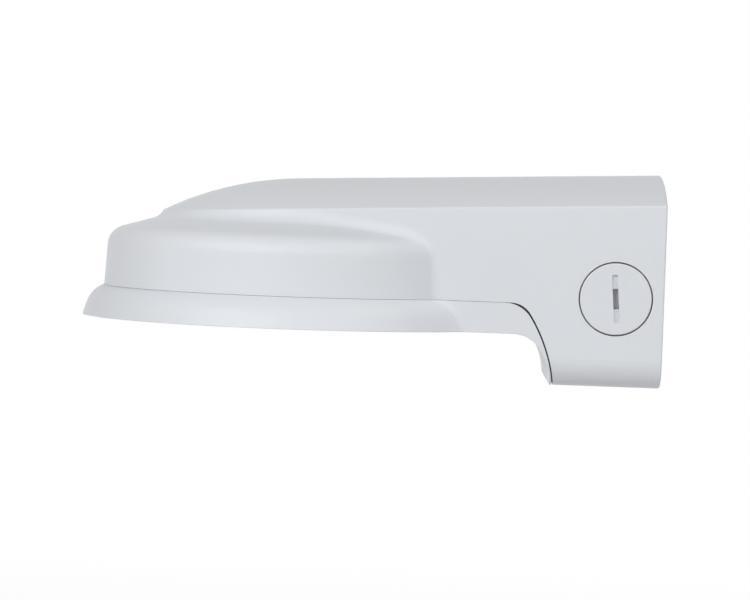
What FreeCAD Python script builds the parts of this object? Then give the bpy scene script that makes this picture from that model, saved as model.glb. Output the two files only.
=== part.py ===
# Wall bracket for a dome camera: a crowned arm that ends in a round camera disc
# Frame: X = 0 is the wall, +X points into it, +Z is up, and Z = 0 is the axis of the side plug
import FreeCAD, Part
import math
import os
import re

import Sketcher
from FreeCAD import Placement, Rotation, Vector

doc = FreeCAD.newDocument("CameraWallBracket")

# Driving sizes in millimetres and degrees
driving = [
    ("reach", 133, "wall to the axis of the camera disc"),
    ("armWidth", 99, "outer width of the arm and of the wall box"),
    ("noseRise", 4.3265, "top side edge of the arm beside the disc's axis, above the dome's top there"),
    ("armSlope", 2.46, "fall of the arm's top towards the front"),
    ("crownRise", 10.8, "height of the rounded top above its side edges"),
    ("topEdgeRound", 0.9, "rounding of the top side edges"),
    ("boxDepth", 31.9, "underside of the wall box below the plug axis"),
    ("boxCornerRound", 10, "rounding of the wall box's lower long edges"),
    ("backEdgeRound", 0.8, "rounding of the edge that meets the wall"),
    ("wall", 3.5, "wall thickness of both castings"),
    ("domeRadius", 71.2, "radius of the dome cap where it meets the cover"),
    ("domeDraft", 3, "lean of the dome's side wall"),
    ("shoulderHeight", 20.3, "corner between the dome's side and its top, above the seam"),
    ("shoulderRound", 7.5, "rounding of that corner"),
    ("domeSlope", 16.4, "rise of the dome's top towards the arm"),
    ("armBlend", 6, "hollow blend between the dome's top and the arm"),
    ("armBlendEnd", 4.5, "the same blend down the dome's side"),
    ("seamDrop", 2.6, "level part of the seam below the plug axis"),
    ("seamGap", 0.12, "open gap between the castings along the level seam"),
    ("seamBend", 8.6, "radius of the housing's edge where the seam turns down"),
    ("seamBendExtra", 2.4, "how much wider the cover turns there"),
    ("seamFrontRadius", 59.1, "large radius of the housing's edge in front of the wall box"),
    ("seamFrontBack", 97.05, "centre of that radius in front of the wall"),
    ("seamFrontDrop", 38.5, "centre of that radius below the plug axis"),
    ("seamFrontGap", 0.48, "open gap there, taken off the cover's radius"),
    ("seamFrontSink", 0.25, "how much lower the cover's radius is centred, which opens the gap upwards"),
    ("rimRadius", 78.9, "radius of the cover's flared rim"),
    ("rimDepth", 11.1, "depth of the cover below the level seam"),
    ("rimUpperLean", 22.6, "fall of the rim's upper cone below level"),
    ("rimLowerLean", 18, "lean of the rim's lower cone from upright"),
    ("rimRound", 10.5, "rounding between the two cones"),
    ("rimEdgeRound", 0.2, "rounding of the rim's lower edge"),
    ("rimBlend", 4, "hollow blend between the rim and the arm's sides"),
    ("apronBend", 11.1, "radius where the underside turns down into the apron"),
    ("apronFrontRadius", 23, "large radius of the apron's front"),
    ("apronFrontBack", 62.7, "centre of that radius in front of the wall"),
    ("apronFrontDrop", 32.1, "centre of that radius below the plug axis"),
    ("plateRadius", 74.2, "radius of the recess that takes the camera's base"),
    ("plateRecess", 3, "depth of that recess"),
    ("plateThickness", 4, "thickness of the camera plate"),
    ("cameraHoleCircle", 100, "circle of the camera's four screws"),
    ("cameraHole", 5.2, "hole for a camera screw"),
    ("cameraCableHole", 40, "middle hole of the camera plate"),
    ("sealLand", 1, "casting wall outside the seal"),
    ("sealWidth", 1.5, "width of the seal in its groove"),
    ("sealDepth", 1.3, "depth of the groove"),
    ("lipClearance", 0.4, "room between the cover's lip and the housing"),
    ("lipWidth", 1.8, "width of that lip"),
    ("lipHeight", 3, "how far the lip reaches into the housing"),
    ("frontScrewInset", 9, "front cover screws in from the dome's outside at the seam"),
    ("frontScrewAngle", 132, "angle of the front cover screws from the arm's axis"),
    ("rearScrewReach", 62, "rear cover screws in front of the wall"),
    ("screwThread", 5, "thread diameter of a cover screw"),
    ("screwLength", 15, "length of a cover screw under its head"),
    ("screwHead", 8.5, "head diameter"),
    ("screwHeadHeight", 3, "head height"),
    ("headSink", 0.2, "how far a head lies below the camera plate's face"),
    ("screwSocket", 4, "hexagon socket across flats"),
    ("screwSocketDepth", 1.8, "depth of that socket"),
    ("screwClearance", 0.3, "room around a screw's shank in the cover"),
    ("threadClearance", 0.05, "room around a thread in its boss"),
    ("threadRoom", 1, "room above a cover screw's tip"),
    ("washerDiameter", 9.5, "outer diameter of a washer"),
    ("washerThickness", 1, "thickness of a washer"),
    ("counterboreRoom", 0.4, "room around a washer in its counterbore"),
    ("postWall", 2.2, "wall of a cover post around its counterbore"),
    ("bossWall", 3.2, "wall of a housing boss around its thread"),
    ("backRecess", 3, "depth of the recess behind the back wall"),
    ("backWall", 4, "thickness of the back wall"),
    ("gasketWidth", 4.5, "width of the wall gasket"),
    ("boltHole", 5.5, "hole for a wall bolt"),
    ("boltPad", 12, "diameter of the pads around the wall bolts"),
    ("boltPadBeside", 2.5, "room between a bolt pad and the gasket beside it"),
    ("boltPadBelow", 0.9, "room between a bolt pad and the gasket below it"),
    ("cableHole", 26, "cable hole of the back wall"),
    ("grommetLip", 3, "how far the grommet's lips reach past the hole"),
    ("grommetLipThickness", 2, "thickness of the grommet's lips"),
    ("grommetBore", 13, "bore of the grommet"),
    ("plugBack", 17.3, "plug axis in front of the wall"),
    ("plugHead", 25.6, "diameter of the plug's head"),
    ("plugHeadThickness", 2.4, "thickness of the plug's head"),
    ("plugEdgeRound", 0.3, "rounding of the head's outer edge"),
    ("plugRingGap", 0.5, "gap around the plug's head"),
    ("plugThread", 20, "thread diameter of the plug"),
    ("plugThreadLength", 8, "length of the plug's threaded shank"),
    ("plugWall", 2.2, "wall of the plug's hollow shank"),
    ("plugRingThickness", 1, "thickness of the rubber ring"),
    ("plugRingRound", 0.3, "rounding of the rubber ring's edges"),
    ("plugSlotWidth", 2, "width of the coin slot"),
    ("plugSlotLength", 17.2, "length of the slot"),
    ("plugSlotDepth", 0.9, "depth of the slot"),
    ("plugPocketLength", 7.3, "length of the deeper pocket in its middle"),
    ("plugPocketDepth", 4.4, "depth of the pocket"),
    ("plugTurn", 4.65, "how far the slot is turned from upright"),
    ("entryWall", 4, "wall of the side entry's boss around the ring"),
]
sheet = doc.addObject("Spreadsheet::Sheet", "Sizes")
for row, (alias, value, note) in enumerate(driving, start=1):
    sheet.set(f"A{row}", note)
    sheet.set(f"B{row}", str(value))
    sheet.setAlias(f"B{row}", alias)
doc.recompute()
aliases = {alias for alias, value, note in driving}


def size(alias):
    """Value of a driving size as a plain number."""
    return float(getattr(sheet, alias))


def formula(text):
    """Expression text in which every driving size is looked up in the sheet."""
    def lookUp(word):
        return f"Sizes.{word.group()}" if word.group() in aliases else word.group()
    return re.sub(r"[A-Za-z]\w*", lookUp, text)


reading = doc.addObject("App::VarSet", "Reading")
reading.addProperty("App::PropertyFloat", "Number")


def valueOf(text):
    """Number that a formula gives."""
    reading.setExpression("Number", formula(text))
    reading.recompute()
    return reading.Number


def bind(item, **formulas):
    """Ties properties of an object to formulas of the driving sizes."""
    for name, text in formulas.items():
        item.setExpression(name.replace("_", "."), formula(text))
    return item


# Solids that the pieces are cut from

def box(name, x, y, z):
    """Box between two formulas along each axis."""
    item = doc.addObject("Part::Box", name)
    bind(item, Length=f"({x[1]}) - ({x[0]})", Width=f"({y[1]}) - ({y[0]})", Height=f"({z[1]}) - ({z[0]})")
    bind(item, Placement_Base_x=x[0], Placement_Base_y=y[0], Placement_Base_z=z[0])
    return item


turns = {
    "x": Rotation(Vector(0, 1, 0), 90),
    "y": Rotation(Vector(1, 0, 0), -90),
    "z": Rotation(Vector(0, 0, 1), 180),
}


def cylinder(name, radius, length, start, axis="z"):
    """Cylinder from a start point, given as three formulas, along +X, +Y or +Z."""
    item = doc.addObject("Part::Cylinder", name)
    item.Placement = Placement(Vector(), turns[axis])
    bind(item, Radius=radius, Height=length)
    bind(item, Placement_Base_x=start[0], Placement_Base_y=start[1], Placement_Base_z=start[2])
    return item


def fuse(name, *items):
    joined = doc.addObject("Part::MultiFuse", name)
    joined.Shapes = list(items)
    joined.Refine = True
    return joined


def common(name, *items):
    shared = doc.addObject("Part::MultiCommon", name)
    shared.Shapes = list(items)
    shared.Refine = True
    return shared


def cut(name, base, tool):
    rest = doc.addObject("Part::Cut", name)
    rest.Base = base
    rest.Tool = tool
    rest.Refine = True
    return rest


def fillet(name, base, radius, chosen):
    """Rounds the edges of a solid that a test picks by their place."""
    doc.recompute()
    rounded = doc.addObject("Part::Fillet", name)
    rounded.Base = base
    numbers = [number for number, edge in enumerate(base.Shape.Edges, start=1) if chosen(edge)]
    rounded.Edges = [(number, radius, radius) for number in numbers]
    return rounded


def near(first, second):
    return abs(first - second) < 0.01


# Sketches and bodies turned from them

def originPlane(body, role):
    return [feature for feature in body.Origin.OriginFeatures if feature.Role == role][0]


def sketchOn(body, role, name):
    """Empty sketch on one of a body's own origin planes."""
    sketch = body.newObject("Sketcher::SketchObject", name)
    sketch.AttachmentSupport = [(originPlane(body, role), "")]
    sketch.MapMode = "FlatFace"
    return sketch


def arcBetween(start, end, radius):
    """Arc that turns left from one point to another."""
    chord = end - start
    middle = (start + end) * 0.5
    inward = Vector(-chord.y, chord.x, 0).normalize()
    centre = middle + inward * math.sqrt(radius ** 2 - (chord.Length / 2) ** 2)
    crest = centre - inward * radius
    return Part.Arc(start, crest, end)


def outline(sketch, corners):
    """Closed outline, run anticlockwise: each corner is two formulas, and a third one is the radius
    of the arc that leads from it to the next corner."""
    places = [Vector(valueOf(corner[0]), valueOf(corner[1]), 0) for corner in corners]
    count = len(corners)
    for index, corner in enumerate(corners):
        start = places[index]
        end = places[(index + 1) % count]
        if len(corner) == 3:
            sketch.addGeometry(arcBetween(start, end, valueOf(corner[2])), False)
        else:
            sketch.addGeometry(Part.LineSegment(start, end), False)
    for index in range(count):
        sketch.addConstraint(Sketcher.Constraint("Coincident", index, 2, (index + 1) % count, 1))
    for index, corner in enumerate(corners):
        for kind, text in (("DistanceX", corner[0]), ("DistanceY", corner[1])):
            place = sketch.addConstraint(Sketcher.Constraint(kind, -1, 1, index, 1, valueOf(text)))
            sketch.setExpression(f"Constraints[{place}]", formula(text))
        if len(corner) == 3:
            place = sketch.addConstraint(Sketcher.Constraint("Radius", index, valueOf(corner[2])))
            sketch.setExpression(f"Constraints[{place}]", formula(corner[2]))


def turned(name, corners):
    """Body turned about its own Z axis from an outline of radii and heights."""
    body = doc.addObject("PartDesign::Body", name)
    sketch = sketchOn(body, "XZ_Plane", f"{name}Section")
    outline(sketch, corners)
    turning = body.newObject("PartDesign::Revolution", f"{name}Turning")
    turning.Profile = sketch
    turning.ReferenceAxis = (sketch, ["V_Axis"])
    turning.Angle = 360
    return body


# The arm: an upright stadium under a crowned top, both tilted by the arm's slope

# Height of the dome's top where it meets the arm beside the disc's axis
domeTopRadius = "(domeRadius - shoulderHeight * tan(domeDraft))"
domeTopHeight = f"(shoulderHeight - seamDrop + ({domeTopRadius} - armWidth / 2) * tan(domeSlope))"
# Top side edge of the arm there, and at the wall
noseHeight = f"({domeTopHeight} + noseRise)"
edgeHeight = f"({noseHeight} + reach * tan(armSlope))"


def total(insets):
    """Formula for a sum of driving sizes."""
    return " + ".join(insets) or "0"


def isLowLongEdge(edge):
    low = edge.BoundBox.ZMax < -size("boxDepth") / 2
    return low and edge.BoundBox.XLength > size("reach") and near(edge.BoundBox.YLength, 0)


def tilt(item):
    """Tilts a form, in which the arm's top side edges lie at height 0, by the arm's slope."""
    pivot = f"vector(-reach; 0; {noseHeight})"
    return bind(item, Placement=f"placement({pivot}; rotation(vector(0; 1; 0); -armSlope))")


def stadiumForm(name, *insets):
    """Tilted stadium of the arm's sides and nose, from far below to above the crown."""
    half = f"(armWidth / 2 - ({total(insets)}))"
    below = f"-({edgeHeight} + boxDepth + armWidth)"
    sides = box(f"{name}Sides", ("0", "reach + armWidth / 2"), (f"-{half}", half), (below, "crownRise * 2"))
    nose = cylinder(f"{name}Nose", half, f"crownRise * 2 - ({below})", ("0", "0", below))
    return tilt(fuse(f"{name}Stadium", sides, nose))


def crownForm(name, *insets):
    """Tilted capsule with the crowned top of the arm."""
    inset = total(insets)
    crown = f"((armWidth ^ 2 / 4 + crownRise ^ 2) / (2 * crownRise) - ({inset}))"
    level = f"crownRise - {crown} - ({inset})"
    barrel = cylinder(f"{name}Barrel", crown, "reach + armWidth / 2", ("0", "0", level), "x")
    ball = doc.addObject("Part::Sphere", f"{name}Ball")
    ball.Placement = Placement(Vector(), turns["y"])
    bind(ball, Radius=crown, Placement_Base_z=level)
    return tilt(fuse(f"{name}Crown", barrel, ball))


def bedForm(name, *insets):
    """Block with the wall box's flat underside and its rounded lower long edges."""
    inset = total(insets)
    half = f"(armWidth / 2 - ({inset}))"
    heights = (f"{inset} - boxDepth", f"{edgeHeight} * 2")
    block = box(f"{name}Block", ("-reach - armWidth", "0"), (f"-{half}", half), heights)
    cornerRound = max(valueOf(f"boxCornerRound - ({inset})"), size("backEdgeRound"))
    return fillet(f"{name}Bed", block, cornerRound, isLowLongEdge)


def armForm(name, *insets):
    """Arm and wall box, moved in by some sizes on every side but the wall's."""
    crowned = common(f"{name}Crowned", stadiumForm(name, *insets), crownForm(name, *insets))
    return common(name, crowned, bedForm(name, *insets))


# The dome cap around the arm's nose

def domeForm(name, *insets):
    """Dome cap, moved in by some sizes, with a straight skirt below the seam."""
    inset = total(insets)
    corner = f"(shoulderHeight + ({inset}) * (sin(domeSlope) - 1) / cos(domeSlope))"
    atSeam = f"(domeRadius - ({inset}) / cos(domeDraft))"
    atCorner = f"({atSeam} - {corner} * tan(domeDraft))"
    bend = f"(shoulderRound - ({inset}))"
    reachOfBend = f"({bend} * tan((90 - domeDraft - domeSlope) / 2))"
    # The sloping top ends inside the arm
    inner = "(armWidth / 4)"
    topHeight = f"({corner} + ({atCorner} - {inner}) * tan(domeSlope))"
    dome = turned(name, [
        ("0", "-rimDepth * 2"),
        (atSeam, "-rimDepth * 2"),
        (atSeam, "0"),
        (f"{atCorner} + {reachOfBend} * sin(domeDraft)", f"{corner} - {reachOfBend} * cos(domeDraft)", bend),
        (f"{atCorner} - {reachOfBend} * cos(domeSlope)", f"{corner} + {reachOfBend} * sin(domeSlope)"),
        (inner, topHeight),
        ("0", topHeight),
    ])
    return bind(dome, Placement_Base_x="-reach", Placement_Base_z="-seamDrop")


def wholeForm(name, *insets):
    """Outer form of the arm and the dome together, moved in by some sizes."""
    return fuse(name, armForm(f"{name}Arm", *insets), domeForm(f"{name}Dome", *insets))


# Space below a surface that runs level from the front and turns down before the wall box

def spaceBelow(name, level, bend, radius, back, drop):
    """Space below that surface: its level part, the bend's radius, and the arc behind it."""
    deep = "-boxDepth * 2"
    wide = ("-armWidth", "armWidth")
    front = box(f"{name}Front", ("-reach - armWidth", f"-{back}"), wide, (deep, level))
    rear = box(f"{name}Rear", (f"-{back}", "0"), wide, (deep, level))
    centre = (f"-{back}", "-armWidth", f"-({drop})")
    arc = cylinder(f"{name}Arc", radius, "armWidth * 2", centre, "y")
    whole = fuse(f"{name}Whole", front, common(f"{name}Bulge", rear, arc))
    doc.recompute()
    topHeight = front.Placement.Base.z + float(front.Height)

    def isBend(edge):
        frame = edge.BoundBox
        atTop = near(frame.ZMin, topHeight) and near(frame.ZMax, topHeight)
        return atTop and near(frame.XLength, 0) and frame.XMin > -size("reach")

    return fillet(name, whole, bend, isBend)


# The housing

# Cover side and housing side of the seam gap
coverSpace = spaceBelow(
    "CoverSpace", "-seamDrop - seamGap / 2", size("seamBend") + size("seamBendExtra"),
    "seamFrontRadius - seamFrontGap", "seamFrontBack", "seamFrontDrop + seamFrontSink")
gapSpace = spaceBelow(
    "GapSpace", "-seamDrop + seamGap / 2", size("seamBend"),
    "seamFrontRadius", "seamFrontBack", "seamFrontDrop")


def blendRadius(point):
    """Radius of the hollow blend: full around the nose, and less where the dome's side meets the arm."""
    start = -size("reach")
    end = start + math.sqrt(size("domeRadius") ** 2 - (size("armWidth") / 2) ** 2) - size("shoulderRound")
    share = min(max((point.x - start) / (end - start), 0), 1)
    return size("armBlend") + (size("armBlendEnd") - size("armBlend")) * share


def aroundDome(point):
    """Angle around the dome's axis, in the order in which the blended edges follow each other."""
    return math.atan2(-point.y, point.x + size("reach")) % (2 * math.pi)


def isValley(edge, lowest):
    """Edge above some height where the dome or the rim meets the arm's sides or nose."""
    middle = edge.valueAt((edge.FirstParameter + edge.LastParameter) / 2)
    halfWidth = size("armWidth") / 2
    onSide = near(abs(middle.y), halfWidth) and middle.x > -size("reach")
    fromAxis = math.hypot(middle.x + size("reach"), middle.y)
    noseLean = valueOf(edgeHeight) * math.tan(math.radians(size("armSlope")))
    onNose = middle.x < -size("reach") and abs(fromAxis - halfWidth) < noseLean
    beside = edge.BoundBox.XMax < -size("reach") + size("rimRadius")
    between = lowest < edge.BoundBox.ZMax < size("shoulderHeight") + size("crownRise")
    return (onSide or onNose) and beside and between


def blend(name, base):
    """Form with the hollow blend between the dome and the arm."""
    doc.recompute()
    blended = doc.addObject("Part::Fillet", name)
    blended.Base = base
    rounded = []
    for number, edge in enumerate(base.Shape.Edges, start=1):
        if isValley(edge, 0):
            ends = [edge.valueAt(edge.FirstParameter), edge.valueAt(edge.LastParameter)]
            start, end = sorted(ends, key=aroundDome)
            rounded.append((number, blendRadius(start), blendRadius(end)))
    blended.Edges = rounded
    return blended


# Places along an edge where its height is measured, and how far above 0 it may lie there
alongEdge = (0.1, 0.5, 0.9)
highest = 0.1


def isTopEdge(edge):
    """Edge of the crown, which lies near height 0 in the arm's own tilted frame."""
    level = crown.Placement.inverse()
    span = edge.LastParameter - edge.FirstParameter
    points = [edge.valueAt(edge.FirstParameter + span * share) for share in alongEdge]
    onCrown = all(near(crown.Shape.Shells[0].distToShape(Part.Vertex(point))[0], 0) for point in points)
    return onCrown and max(level.multVec(point).z for point in points) < highest


def isBackEdge(edge):
    return near(edge.BoundBox.XMin, 0) and near(edge.BoundBox.XMax, 0)


# The blend is made before the crown is cut, because it reaches past the nose's top edge
tallArm = common("TallArm", stadiumForm("Tall"), bedForm("Tall"))
tallForm = fuse("TallForm", tallArm, domeForm("OuterDome"))
blended = blend("Blended", cut("TallBlank", tallForm, gapSpace))
crown = crownForm("Outer")
aboveCrown = cut("AboveCrown", stadiumForm("Above", "-armBlend"), crown)
housingBlank = cut("HousingBlank", blended, aboveCrown)
toppedOff = fillet("ToppedOff", housingBlank, size("topEdgeRound"), isTopEdge)
housingOuter = fillet("HousingOuter", toppedOff, size("backEdgeRound"), isBackEdge)

# Hollow inside, up to the back wall; cutting solids run past open faces by a wall's thickness
innerForm = wholeForm("InnerForm", "wall")
backFace = "-(backRecess + backWall)"
everywhere = ("-armWidth", "armWidth")
past = "wall"
upAndDown = ("-boxDepth * 2", f"{edgeHeight} * 2")
frontOfBackWall = box("FrontOfBackWall", ("-reach - armWidth", backFace), everywhere, upAndDown)
hollow = common("Hollow", innerForm, frontOfBackWall)
shell = cut("Shell", housingOuter, hollow)

# Places of the four cover screws: two beside the camera, two where the arm meets the wall box
frontBack = "-reach + (domeRadius - frontScrewInset) * cos(frontScrewAngle)"
frontSide = "(domeRadius - frontScrewInset) * sin(frontScrewAngle)"
rearSide = "(armWidth / 2 - wall - washerDiameter / 2 - counterboreRoom)"
screwPlaces = [
    (frontBack, f"-{frontSide}"),
    (frontBack, frontSide),
    ("-rearScrewReach", f"-{rearSide}"),
    ("-rearScrewReach", rearSide),
]
rimBase = "-seamDrop - rimDepth"
plateFace = f"{rimBase} + plateRecess"
screwSeat = f"{plateFace} + screwHeadHeight + washerThickness + headSink"
screwTip = f"{screwSeat} - washerThickness + screwLength"


def atScrews(name, radius, low, high):
    """Four upright cylinders at the cover screws."""
    parts = [
        cylinder(f"{name}{number}", radius, f"({high}) - ({low})", (x, y, low))
        for number, (x, y) in enumerate(screwPlaces, start=1)
    ]
    return fuse(name, *parts)


# Bosses reach into the castings' walls, but not to their outside
coreForm = wholeForm("CoreForm", "sealLand")
bossRadius = "screwThread / 2 + bossWall"
bosses = common("Bosses", coreForm, atScrews("BossPosts", bossRadius, "-seamDrop", edgeHeight))
plugSide = "-armWidth / 2"
entryDepth = "plugHeadThickness + plugRingThickness + plugThreadLength"
entryRadius = "plugHead / 2 + plugRingGap + entryWall"
entryPost = cylinder("EntryPost", entryRadius, entryDepth, ("-plugBack", plugSide, "0"), "y")
entryBoss = common("EntryBoss", coreForm, entryPost)
solidHousing = fuse("SolidHousing", shell, bosses, entryBoss)

# Recess of the back, which the rim around it closes against the wall
backSlab = box("BackSlab", ("-backRecess", past), everywhere, upAndDown)
rimInside = armForm("RimInside", "wall")
recess = common("Recess", rimInside, backSlab)

# Groove for the seal, which follows the seam at a constant depth
grooveSpace = spaceBelow(
    "GrooveSpace", "-seamDrop + seamGap / 2 + sealDepth", size("seamBend") + size("sealDepth"),
    "seamFrontRadius + sealDepth", "seamFrontBack", "seamFrontDrop")
sealInner = wholeForm("SealInner", "sealLand", "sealWidth")
sealWall = cut("SealWall", coreForm, sealInner)
sealGroove = common("SealGroove", sealWall, grooveSpace)

threadHoles = atScrews(
    "ThreadHoles", "screwThread / 2 + threadClearance", f"-seamDrop - {past}", f"{screwTip} + threadRoom")
headBore = cylinder(
    "HeadBore", "plugHead / 2 + plugRingGap", f"plugHeadThickness + plugRingThickness + {past}",
    ("-plugBack", f"{plugSide} - {past}", "0"), "y")
threadBore = cylinder(
    "ThreadBore", "plugThread / 2 + threadClearance", f"{entryDepth} + {past}",
    ("-plugBack", plugSide, "0"), "y")
cableEntry = cylinder(
    "CableEntry", "cableHole / 2", f"backRecess + backWall + {past}", (f"{backFace} - {past}", "0", "0"), "x")
housingCuts = fuse("HousingCuts", recess, sealGroove, threadHoles, headBore, threadBore, cableEntry)
bored = cut("Bored", solidHousing, housingCuts)

boltSide = "(armWidth / 2 - wall - gasketWidth - boltPadBeside - boltPad / 2)"
boltLevel = "(boxDepth - wall - gasketWidth - boltPadBelow - boltPad / 2)"
boltPlaces = [(f"{side}{boltSide}", f"{level}{boltLevel}") for side in ("-", "") for level in ("-", "")]


def atBolts(name, radius, low, high):
    """Four cylinders along X at the wall bolts."""
    parts = [
        cylinder(f"{name}{number}", radius, f"({high}) - ({low})", (low, y, z), "x")
        for number, (y, z) in enumerate(boltPlaces, start=1)
    ]
    return fuse(name, *parts)


pads = atBolts("Pads", "boltPad / 2", "-backRecess - backWall / 2", "0")
boltHoles = atBolts("BoltHoles", "boltHole / 2", f"{backFace} - {past}", past)
housing = cut("UpperHousing", fuse("PaddedHousing", bored, pads), boltHoles)


# The cover

apronSpace = spaceBelow(
    "ApronSpace", f"({rimBase})", size("apronBend"), "apronFrontRadius", "apronFrontBack", "apronFrontDrop")
cornerDepth = (
    "((rimRadius - domeRadius - rimDepth * tan(rimLowerLean))"
    " / (1 / tan(rimUpperLean) - tan(rimLowerLean)))"
)
cornerRadius = f"(domeRadius + {cornerDepth} / tan(rimUpperLean))"
rimBendReach = "(rimRound * tan((90 - rimUpperLean - rimLowerLean) / 2))"
# Both cones run on past the seam and the rim's lower edge, so that the blend does too
coneTop = "((domeRadius - armWidth / 4) * tan(rimUpperLean))"
rimBlank = turned("RimBlank", [
    ("0", "-rimDepth - rimBlend"),
    ("rimRadius + rimBlend * tan(rimLowerLean)", "-rimDepth - rimBlend"),
    (
        f"{cornerRadius} + {rimBendReach} * sin(rimLowerLean)",
        f"-{cornerDepth} - {rimBendReach} * cos(rimLowerLean)",
        "rimRound",
    ),
    (
        f"{cornerRadius} - {rimBendReach} * cos(rimUpperLean)",
        f"-{cornerDepth} + {rimBendReach} * sin(rimUpperLean)",
    ),
    ("armWidth / 4", coneTop),
    ("0", coneTop),
])
bind(rimBlank, Placement_Base_x="-reach", Placement_Base_z="-seamDrop")


def isRimValley(edge):
    return isValley(edge, valueOf(rimBase))


def isRimEdge(edge):
    """Lower edge of the rim."""
    frame = edge.BoundBox
    level = near(frame.ZMin, valueOf(rimBase)) and near(frame.ZMax, valueOf(rimBase))
    return level and frame.XLength > size("rimRadius")


rimBlended = fillet("RimBlended", fuse("RimAndArm", tallArm, rimBlank), size("rimBlend"), isRimValley)
coverBlank = cut("CoverBlank", common("CoverBelowSeam", rimBlended, coverSpace), apronSpace)
coverOuter = fillet("CoverOuter", coverBlank, size("rimEdgeRound"), isRimEdge)
plateTop = f"{plateFace} + plateThickness"
inside = "domeRadius - wall / cos(domeDraft)"
discHollow = cylinder("DiscHollow", inside, "rimDepth * 2", ("-reach", "0", plateTop))
bendStart = (
    "-apronFrontBack + sqrt((apronFrontRadius - apronBend) ^ 2"
    " - (apronFrontDrop - seamDrop - rimDepth - apronBend) ^ 2)"
)
armInside = box("ArmInside", ("-reach", f"{bendStart} - wall"), everywhere, (plateTop, edgeHeight))
armHollow = common("ArmHollow", rimInside, armInside)
cameraRecess = cylinder(
    "CameraRecess", "plateRadius", f"plateRecess + {past}", ("-reach", "0", f"{rimBase} - {past}"))
coverShell = cut("CoverShell", coverOuter, fuse("CoverHollows", discHollow, armHollow, cameraRecess))

counterbore = "washerDiameter / 2 + counterboreRoom"
postsBelow = atScrews("PostsBelow", f"{counterbore} + postWall", plateFace, "-seamDrop")
posts = common("Posts", innerForm, postsBelow)
lipOuter = wholeForm("LipOuter", "wall", "lipClearance")
lipInner = wholeForm("LipInner", "wall", "lipClearance", "lipWidth")
lipLevels = (plateTop, "-seamDrop + lipHeight")
lipSlab = box("LipSlab", ("-reach - armWidth", "-rearScrewReach"), everywhere, lipLevels)
lipNotches = atScrews("LipNotches", f"{bossRadius} + lipClearance", "-seamDrop", edgeHeight)
lip = cut("Lip", common("LipRing", cut("LipWall", lipOuter, lipInner), lipSlab), lipNotches)
coverSolid = fuse("CoverSolid", coverShell, posts, lip)

shankHoles = atScrews("ShankHoles", "screwThread / 2 + screwClearance", rimBase, edgeHeight)
headHoles = atScrews("HeadHoles", counterbore, f"{rimBase} - {past}", screwSeat)
cameraCable = cylinder("CameraCable", "cameraCableHole / 2", "rimDepth", ("-reach", "0", rimBase))
cameraHoles = [
    cylinder(
        f"CameraHole{angle}", "cameraHole / 2", "rimDepth",
        (f"-reach + cameraHoleCircle / 2 * cos({angle})", f"cameraHoleCircle / 2 * sin({angle})", rimBase))
    for angle in (0, 90, 180, 270)
]
cover = cut("LowerCover", coverSolid, fuse("CoverCuts", shankHoles, headHoles, cameraCable, *cameraHoles))


# The rubber parts

seal = cut("CoverSeal", sealGroove, coverSpace)
gasketInside = armForm("GasketInside", "wall", "gasketWidth")
gasketSlab = box("GasketSlab", ("-backRecess", "0"), everywhere, upAndDown)
gasket = common("WallGasket", cut("GasketWall", rimInside, gasketInside), gasketSlab)


# Small turned pieces

def dressUp(body, kind, name, radius, chosen):
    """Rounds or bevels the edges of a body that a test picks by their place."""
    doc.recompute()
    base = body.Tip
    names = [f"Edge{number}" for number, edge in enumerate(base.Shape.Edges, start=1) if chosen(edge)]
    feature = body.newObject(kind, name)
    feature.Base = (base, names)
    if kind == "PartDesign::Chamfer":
        bind(feature, Size=radius)
    else:
        bind(feature, Radius=radius)
    return feature


def flatCircle(edge, height):
    frame = edge.BoundBox
    return near(frame.ZMin, height) and near(frame.ZMax, height)


# Plug: heights run outwards from the underside of its head
plug = turned("ConduitPlug", [
    ("0", "plugHeadThickness"),
    ("plugHead / 2", "plugHeadThickness"),
    ("plugHead / 2", "0"),
    ("plugThread / 2", "0"),
    ("plugThread / 2", "-plugRingThickness - plugThreadLength"),
    ("plugThread / 2 - plugWall", "-plugRingThickness - plugThreadLength"),
    ("plugThread / 2 - plugWall", "plugHeadThickness - plugPocketDepth - plugWall"),
    ("0", "plugHeadThickness - plugPocketDepth - plugWall"),
])
dressUp(
    plug, "PartDesign::Fillet", "PlugEdge", "plugEdgeRound",
    lambda edge: flatCircle(edge, size("plugHeadThickness")))


def slotPocket(name, length, depth):
    """Pocket of the coin slot's width, sunk into the plug's head."""
    sketch = sketchOn(plug, "YZ_Plane", f"{name}Section")
    outline(sketch, [
        (f"-{length} / 2", f"plugHeadThickness - {depth}"),
        (f"{length} / 2", f"plugHeadThickness - {depth}"),
        (f"{length} / 2", f"plugHeadThickness + {past}"),
        (f"-{length} / 2", f"plugHeadThickness + {past}"),
    ])
    pocket = plug.newObject("PartDesign::Pocket", name)
    pocket.Profile = sketch
    pocket.Midplane = True
    bind(pocket, Length="plugSlotWidth")


slotPocket("Slot", "plugSlotLength", "plugSlotDepth")
slotPocket("DeepPocket", "plugPocketLength", "plugPocketDepth")
plugTurns = "rotation(vector(0; 1; 0); -plugTurn) * rotation(vector(1; 0; 0); 90)"
plugSeat = f"vector(-plugBack; {plugSide} + plugHeadThickness; 0)"
bind(plug, Placement=f"placement({plugSeat}; {plugTurns})")

# Ring between the plug's head and its seat
plugRing = turned("PlugSealRing", [
    ("plugThread / 2 + threadClearance", "0"),
    ("plugHead / 2", "0"),
    ("plugHead / 2", "-plugRingThickness"),
    ("plugThread / 2 + threadClearance", "-plugRingThickness"),
])
dressUp(
    plugRing, "PartDesign::Fillet", "RingEdges", "plugRingRound",
    lambda edge: near(edge.BoundBox.XLength, size("plugHead")))
bind(plugRing, Placement=f"placement({plugSeat}; {plugTurns})")

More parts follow.
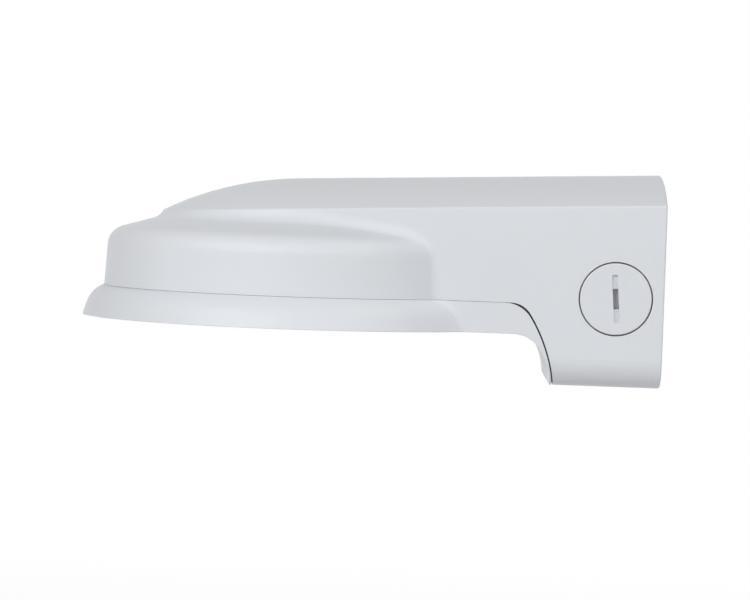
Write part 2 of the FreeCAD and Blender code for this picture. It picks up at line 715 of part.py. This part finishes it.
# Grommet: heights run from the inner lip's face towards the wall
lipRadius = "cableHole / 2 + grommetLip"
grommet = turned("CableGrommet", [
    ("grommetBore / 2", "0"),
    (lipRadius, "0"),
    (lipRadius, "grommetLipThickness"),
    ("cableHole / 2", "grommetLipThickness"),
    ("cableHole / 2", "grommetLipThickness + backWall"),
    (lipRadius, "grommetLipThickness + backWall"),
    (lipRadius, "grommetLipThickness * 2 + backWall"),
    ("grommetBore / 2", "grommetLipThickness * 2 + backWall"),
])


def isLipEdge(edge):
    length = size("grommetLipThickness") * 2 + size("backWall")
    outermost = near(edge.BoundBox.XLength, valueOf(lipRadius) * 2)
    return outermost and (flatCircle(edge, 0) or flatCircle(edge, length))


dressUp(grommet, "PartDesign::Chamfer", "LipEdges", "grommetLipThickness / 2", isLipEdge)
grommetSeat = f"vector({backFace} - grommetLipThickness; 0; 0)"
bind(grommet, Placement=f"placement({grommetSeat}; rotation(vector(0; 1; 0); 90))")

# Cover screws and washers: one turned body, then copies at the four places
screw = turned("ScrewPattern", [
    ("0", "-screwHeadHeight"),
    ("screwHead / 2", "-screwHeadHeight"),
    ("screwHead / 2", "0"),
    ("screwThread / 2", "0"),
    ("screwThread / 2", "screwLength"),
    ("0", "screwLength"),
])


def isHeadEdge(edge):
    return flatCircle(edge, -size("screwHeadHeight")) and near(edge.BoundBox.XLength, size("screwHead"))


dressUp(screw, "PartDesign::Fillet", "HeadEdge", "screwHeadHeight / 3", isHeadEdge)
dressUp(
    screw, "PartDesign::Chamfer", "TipEdge", "screwThread / 8",
    lambda edge: flatCircle(edge, size("screwLength")))
socketSketch = sketchOn(screw, "XY_Plane", "SocketSection")
outline(socketSketch, [
    (f"screwSocket / sqrt(3) * cos({turn})", f"screwSocket / sqrt(3) * sin({turn})")
    for turn in range(0, 360, 60)
])
bind(socketSketch, AttachmentOffset_Base_z="screwSocketDepth - screwHeadHeight")
socket = screw.newObject("PartDesign::Pocket", "Socket")
socket.Profile = socketSketch
bind(socket, Length="screwHeadHeight")

washer = turned("WasherPattern", [
    ("screwThread / 2 + screwClearance / 2", "-washerThickness"),
    ("washerDiameter / 2", "-washerThickness"),
    ("washerDiameter / 2", "0"),
    ("screwThread / 2 + screwClearance / 2", "0"),
])


def copies(name, pattern, base):
    """One group of four solids: a pattern standing at each cover screw."""
    parts = []
    for number, (x, y) in enumerate(screwPlaces, start=1):
        link = doc.addObject("App::Link", f"{name}{number}")
        link.LinkedObject = pattern
        link.LinkTransform = False
        bind(link, Placement=f"placement(vector({x}; {y}; {base}); rotation(vector(0; 0; 1); 0))")
        parts.append(link)
    group = doc.addObject("Part::Compound", name)
    group.Links = parts
    return group


screws = copies("CoverScrews", screw, f"{screwSeat} - washerThickness")
washers = copies("ScrewWashers", washer, screwSeat)

pieces = {
    "upper_housing": housing,
    "lower_cover": cover,
    "cover_seal": seal,
    "conduit_plug": plug,
    "plug_seal_ring": plugRing,
    "wall_gasket": gasket,
    "cable_grommet": grommet,
    "cover_screws": screws,
    "screw_washers": washers,
}
for label, piece in pieces.items():
    piece.Label = label
doc.recompute()

for item in doc.Objects:
    if "Invalid" in item.State or "Error" in item.State:
        raise RuntimeError(f"{item.Name} failed: {item.State}")
for label, piece in pieces.items():
    if piece.Shape.isNull() or not piece.Shape.isValid():
        raise RuntimeError(f"{label} has no valid shape")

os.makedirs("parts", exist_ok=True)
for label, piece in pieces.items():
    piece.Shape.exportStep(f"parts/{label}.step")
    print(label, len(piece.Shape.Solids), round(piece.Shape.Volume))
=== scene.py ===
from math import cos, sin

import bpy
from mathutils import Matrix, Vector

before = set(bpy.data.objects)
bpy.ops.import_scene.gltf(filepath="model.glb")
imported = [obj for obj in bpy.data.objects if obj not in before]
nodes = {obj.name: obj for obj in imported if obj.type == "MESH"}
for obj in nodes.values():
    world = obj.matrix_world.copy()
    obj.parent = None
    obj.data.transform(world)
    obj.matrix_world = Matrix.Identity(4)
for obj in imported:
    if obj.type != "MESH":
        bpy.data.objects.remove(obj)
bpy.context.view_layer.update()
scene = bpy.context.scene
scene.view_settings.view_transform = "Standard"
print("frame loaded:", len(nodes), "pieces")


# Shader groups

def newGroup(name, inputs, outputs):
    group = bpy.data.node_groups.new(name, "ShaderNodeTree")
    for label, kind, value in inputs:
        socket = group.interface.new_socket(label, in_out="INPUT", socket_type=kind)
        socket.default_value = value
    for label, kind in outputs:
        group.interface.new_socket(label, in_out="OUTPUT", socket_type=kind)
    return group, group.nodes.new("NodeGroupInput"), group.nodes.new("NodeGroupOutput")


def noiseNode(tree, vector, scale, detail):
    noise = tree.nodes.new("ShaderNodeTexNoise")
    noise.inputs["Detail"].default_value = detail
    tree.links.new(vector, noise.inputs["Vector"])
    tree.links.new(scale, noise.inputs["Scale"])
    return noise.outputs["Fac"]


def mathNode(tree, kind, *values):
    # Each value is a plain number or another node's output
    node = tree.nodes.new("ShaderNodeMath")
    node.operation = kind
    for socket, value in zip(node.inputs, values):
        if isinstance(value, (int, float)):
            socket.default_value = value
        else:
            tree.links.new(value, socket)
    return node.outputs[0]


# Depth of detail of each noise, and the value that a noise swings about
finishNoise = {"cloudDetail": 2.0, "grainDetail": 3.0, "rippleDetail": 1.0, "middle": 0.5}


# Even colour and gloss broken up by soft clouds, and a height of fine grain over a slow ripple
def makeFinishGroup():
    group, start, end = newGroup(
        "surfaceFinish",
        [
            ("Colour", "NodeSocketColor", (0.8, 0.8, 0.8, 1)),
            ("Cloud", "NodeSocketFloat", 0.02),
            ("Cloud Scale", "NodeSocketFloat", 20.0),
            ("Roughness", "NodeSocketFloat", 0.5),
            ("Gloss Spread", "NodeSocketFloat", 0.05),
            ("Grain Scale", "NodeSocketFloat", 2000.0),
            ("Ripple Scale", "NodeSocketFloat", 300.0),
            ("Ripple", "NodeSocketFloat", 0.5),
        ],
        [("Colour", "NodeSocketColor"), ("Roughness", "NodeSocketFloat"), ("Height", "NodeSocketFloat")],
    )
    place = group.nodes.new("ShaderNodeTexCoord").outputs["Object"]
    cloud = noiseNode(group, place, start.outputs["Cloud Scale"], finishNoise["cloudDetail"])
    grain = noiseNode(group, place, start.outputs["Grain Scale"], finishNoise["grainDetail"])
    ripple = noiseNode(group, place, start.outputs["Ripple Scale"], finishNoise["rippleDetail"])
    cloudSwing = mathNode(group, "SUBTRACT", cloud, finishNoise["middle"])
    grainSwing = mathNode(group, "SUBTRACT", grain, finishNoise["middle"])

    shade = group.nodes.new("ShaderNodeHueSaturation")
    value = mathNode(group, "MULTIPLY_ADD", cloudSwing, start.outputs["Cloud"], 1.0)
    group.links.new(value, shade.inputs["Value"])
    group.links.new(start.outputs["Colour"], shade.inputs["Color"])
    group.links.new(shade.outputs["Color"], end.inputs["Colour"])

    cloudGloss = mathNode(group, "MULTIPLY", cloudSwing, start.outputs["Gloss Spread"])
    grainGloss = mathNode(group, "MULTIPLY", grainSwing, start.outputs["Gloss Spread"])
    cloudedGloss = mathNode(group, "ADD", start.outputs["Roughness"], cloudGloss)
    group.links.new(mathNode(group, "ADD", cloudedGloss, grainGloss), end.inputs["Roughness"])

    height = mathNode(group, "MULTIPLY_ADD", ripple, start.outputs["Ripple"], grain)
    group.links.new(height, end.inputs["Height"])
    return group


finishGroup = makeFinishGroup()


def finishMaterial(name, look):
    material = bpy.data.materials.new(name)
    material.use_nodes = True
    tree = material.node_tree
    shader = tree.nodes["Principled BSDF"]
    finish = tree.nodes.new("ShaderNodeGroup")
    finish.node_tree = finishGroup
    for label, value in look["finish"].items():
        finish.inputs[label].default_value = value
    for label, value in look["shader"].items():
        shader.inputs[label].default_value = value
    bump = tree.nodes.new("ShaderNodeBump")
    bump.inputs["Distance"].default_value = look["bumpDepth"]
    bump.inputs["Strength"].default_value = look["bumpStrength"]
    tree.links.new(finish.outputs["Colour"], shader.inputs["Base Color"])
    tree.links.new(finish.outputs["Roughness"], shader.inputs["Roughness"])
    tree.links.new(finish.outputs["Height"], bump.inputs["Height"])
    tree.links.new(bump.outputs["Normal"], shader.inputs["Normal"])
    return material


def dress(material, *names):
    for name in names:
        mesh = nodes[name].data
        mesh.materials.clear()
        mesh.materials.append(material)


print("shader groups ready")


# Castings: white powder coat on aluminium

coatLook = {
    "finish": {
        "Colour": (0.735, 0.757, 0.79, 1), "Cloud": 0.03, "Cloud Scale": 22.0,
        "Roughness": 0.46, "Gloss Spread": 0.06,
        "Grain Scale": 2400.0, "Ripple Scale": 420.0, "Ripple": 0.8,
    },
    "shader": {"IOR": 1.45},
    "bumpDepth": 0.00003,
    "bumpStrength": 0.35,
}
dress(finishMaterial("whitePowderCoat", coatLook), "upper_housing", "lower_cover")

plugLook = {
    "finish": {
        "Colour": (0.73, 0.752, 0.785, 1), "Cloud": 0.02, "Cloud Scale": 60.0,
        "Roughness": 0.42, "Gloss Spread": 0.05,
        "Grain Scale": 3200.0, "Ripple Scale": 600.0, "Ripple": 0.6,
    },
    "shader": {"IOR": 1.45},
    "bumpDepth": 0.00002,
    "bumpStrength": 0.3,
}
dress(finishMaterial("whitePlugCoat", plugLook), "conduit_plug")
print("castings and plug coated")


# Rubber and steel

sealLook = {
    "finish": {
        "Colour": (0.02, 0.02, 0.022, 1), "Cloud": 0.3, "Cloud Scale": 90.0,
        "Roughness": 0.62, "Gloss Spread": 0.12,
        "Grain Scale": 3000.0, "Ripple Scale": 500.0, "Ripple": 0.4,
    },
    "shader": {"IOR": 1.5},
    "bumpDepth": 0.00004,
    "bumpStrength": 0.5,
}
dress(finishMaterial("blackSealRubber", sealLook), "cover_seal", "plug_seal_ring")

gasketLook = {
    "finish": {
        "Colour": (0.035, 0.035, 0.038, 1), "Cloud": 0.35, "Cloud Scale": 60.0,
        "Roughness": 0.78, "Gloss Spread": 0.12,
        "Grain Scale": 1600.0, "Ripple Scale": 350.0, "Ripple": 0.6,
    },
    "shader": {"IOR": 1.45},
    "bumpDepth": 0.00012,
    "bumpStrength": 0.6,
}
dress(finishMaterial("greyBlackRubber", gasketLook), "wall_gasket", "cable_grommet")

steelLook = {
    "finish": {
        "Colour": (0.62, 0.61, 0.59, 1), "Cloud": 0.15, "Cloud Scale": 240.0,
        "Roughness": 0.32, "Gloss Spread": 0.16,
        "Grain Scale": 4200.0, "Ripple Scale": 900.0, "Ripple": 0.3,
    },
    "shader": {"Metallic": 1.0},
    "bumpDepth": 0.00001,
    "bumpStrength": 0.3,
}
dress(finishMaterial("stainlessSteel", steelLook), "cover_screws", "screw_washers")
print("rubber and steel finished")


# Floor, surroundings and lamps

studio = {
    "centre": (-0.1, 0.0, 0.0),
    "floorHeight": -0.35,
    "floorSize": 16.0,
    "floorColour": (0.8, 0.8, 0.8, 1),
    "floorRoughness": 0.9,
    "glowNear": 0.88,
    "glowFar": 1.0,
    "glowFade": (0.8, 2.2),
    "white": (1, 1, 1, 1),
    "worldStrength": 0.05,
    "lampSize": 0.7,
    "lamps": {
        "leftLevel": {"place": (-1.74, -0.44, 0.0), "power": 2.6},
        "leftKey": {"place": (-1.16, -1.06, 0.8), "power": 7.6},
        "frontLeft": {"place": (-0.61, -1.41, 0.8), "power": 7.8},
        "frontRight": {"place": (0.65, -1.3, 0.8), "power": 5.6},
        "rightLevel": {"place": (1.37, -0.85, 0.0), "power": 2.0},
        "rightHigh": {"place": (0.68, -0.45, 1.44), "power": 5.7},
        "backLeft": {"place": (-0.6, 1.6, 0.1), "power": 10.0, "matte": True},
        "backRight": {"place": (0.75, 1.47, 0.1), "power": 7.0, "matte": True},
    },
}


def whiteWhenSeen(tree):
    # Light Path picks the rays that show the background itself
    path = tree.nodes.new("ShaderNodeLightPath")
    seen = mathNode(tree, "MAXIMUM", path.outputs["Is Camera Ray"], path.outputs["Is Glossy Ray"])
    return mathNode(tree, "MAXIMUM", seen, path.outputs["Is Transmission Ray"])


def makeFloor():
    middle = (*studio["centre"][:2], studio["floorHeight"])
    bpy.ops.mesh.primitive_plane_add(size=studio["floorSize"], location=middle)
    floor = bpy.context.object
    floor.name = "floor"
    material = bpy.data.materials.new("paleFloor")
    material.use_nodes = True
    tree = material.node_tree
    shader = tree.nodes["Principled BSDF"]
    shader.inputs["Base Color"].default_value = studio["floorColour"]
    shader.inputs["Roughness"].default_value = studio["floorRoughness"]
    # Plain white away from the object, and less near it, so that its shadow stays
    away = tree.nodes.new("ShaderNodeVectorMath")
    away.operation = "LENGTH"
    tree.links.new(tree.nodes.new("ShaderNodeTexCoord").outputs["Object"], away.inputs[0])
    fade = tree.nodes.new("ShaderNodeMapRange")
    tree.links.new(away.outputs["Value"], fade.inputs["Value"])
    fade.inputs["From Min"].default_value, fade.inputs["From Max"].default_value = studio["glowFade"]
    fade.inputs["To Min"].default_value = studio["glowNear"]
    fade.inputs["To Max"].default_value = studio["glowFar"]
    seen = whiteWhenSeen(tree)
    glow = tree.nodes.new("ShaderNodeEmission")
    fromAbove = tree.nodes.new("ShaderNodeMixShader")
    tree.links.new(mathNode(tree, "MULTIPLY", seen, fade.outputs["Result"]), fromAbove.inputs["Fac"])
    tree.links.new(shader.outputs["BSDF"], fromAbove.inputs[1])
    tree.links.new(glow.outputs["Emission"], fromAbove.inputs[2])
    # From below the view passes through the floor, so that it doesn't hide the underside
    clear = tree.nodes.new("ShaderNodeBsdfTransparent")
    below = tree.nodes.new("ShaderNodeNewGeometry").outputs["Backfacing"]
    whole = tree.nodes.new("ShaderNodeMixShader")
    tree.links.new(mathNode(tree, "MULTIPLY", seen, below), whole.inputs["Fac"])
    tree.links.new(fromAbove.outputs["Shader"], whole.inputs[1])
    tree.links.new(clear.outputs["BSDF"], whole.inputs[2])
    tree.links.new(whole.outputs["Shader"], tree.nodes["Material Output"].inputs["Surface"])
    floor.data.materials.append(material)


def makeWorld():
    world = bpy.data.worlds.new("studioWorld")
    scene.world = world
    world.use_nodes = True
    tree = world.node_tree
    light = tree.nodes["Background"]
    light.inputs["Color"].default_value = studio["white"]
    light.inputs["Strength"].default_value = studio["worldStrength"]
    shown = tree.nodes.new("ShaderNodeBackground")
    shown.inputs["Color"].default_value = studio["white"]
    mix = tree.nodes.new("ShaderNodeMixShader")
    tree.links.new(whiteWhenSeen(tree), mix.inputs["Fac"])
    tree.links.new(light.outputs["Background"], mix.inputs[1])
    tree.links.new(shown.outputs["Background"], mix.inputs[2])
    tree.links.new(mix.outputs["Shader"], tree.nodes["World Output"].inputs["Surface"])


def makeLamps():
    for name, lamp in studio["lamps"].items():
        light = bpy.data.lights.new(name, "AREA")
        light.shape = "SQUARE"
        light.size = studio["lampSize"]
        light.energy = lamp["power"]
        holder = bpy.data.objects.new(name, light)
        scene.collection.objects.link(holder)
        # A lamp behind the object lights it without a glare on its edges
        holder.visible_glossy = not lamp.get("matte", False)
        holder.location = lamp["place"]
        aim = Vector(studio["centre"]) - Vector(lamp["place"])
        holder.rotation_euler = aim.to_track_quat("-Z", "Y").to_euler()


makeFloor()
makeWorld()
makeLamps()
print("studio lit")


# Camera

# Nearly side on, a little above, and rolled as the photograph is
view = {
    "target": (-0.1, 0.0, -0.0027),
    "distance": 1.3,
    "yaw": -0.0148,
    "pitch": 0.0368,
    "roll": 0.0357,
    "slideRight": 0.003893,
    "slideUp": 0.002373,
    "lens": 168.28,
    "sensor": 36.0,
    "farEnd": 50.0,
}


def makeCamera():
    yaw, pitch, roll = view["yaw"], view["pitch"], view["roll"]
    levelRight = Vector((cos(yaw), -sin(yaw), 0))
    levelUp = Vector((sin(yaw) * sin(pitch), cos(yaw) * sin(pitch), cos(pitch)))
    forward = Vector((sin(yaw) * cos(pitch), cos(yaw) * cos(pitch), -sin(pitch)))
    right = levelRight * cos(roll) + levelUp * sin(roll)
    up = levelUp * cos(roll) - levelRight * sin(roll)
    data = bpy.data.cameras.new("camera")
    data.sensor_width = view["sensor"]
    data.lens = view["lens"]
    data.clip_end = view["farEnd"]
    camera = bpy.data.objects.new("camera", data)
    scene.collection.objects.link(camera)
    slide = right * view["slideRight"] + up * view["slideUp"]
    place = Vector(view["target"]) - forward * view["distance"] - slide
    turn = Matrix((right, up, -forward)).transposed().to_4x4()
    camera.matrix_world = Matrix.Translation(place) @ turn
    scene.camera = camera


makeCamera()
print("camera set")
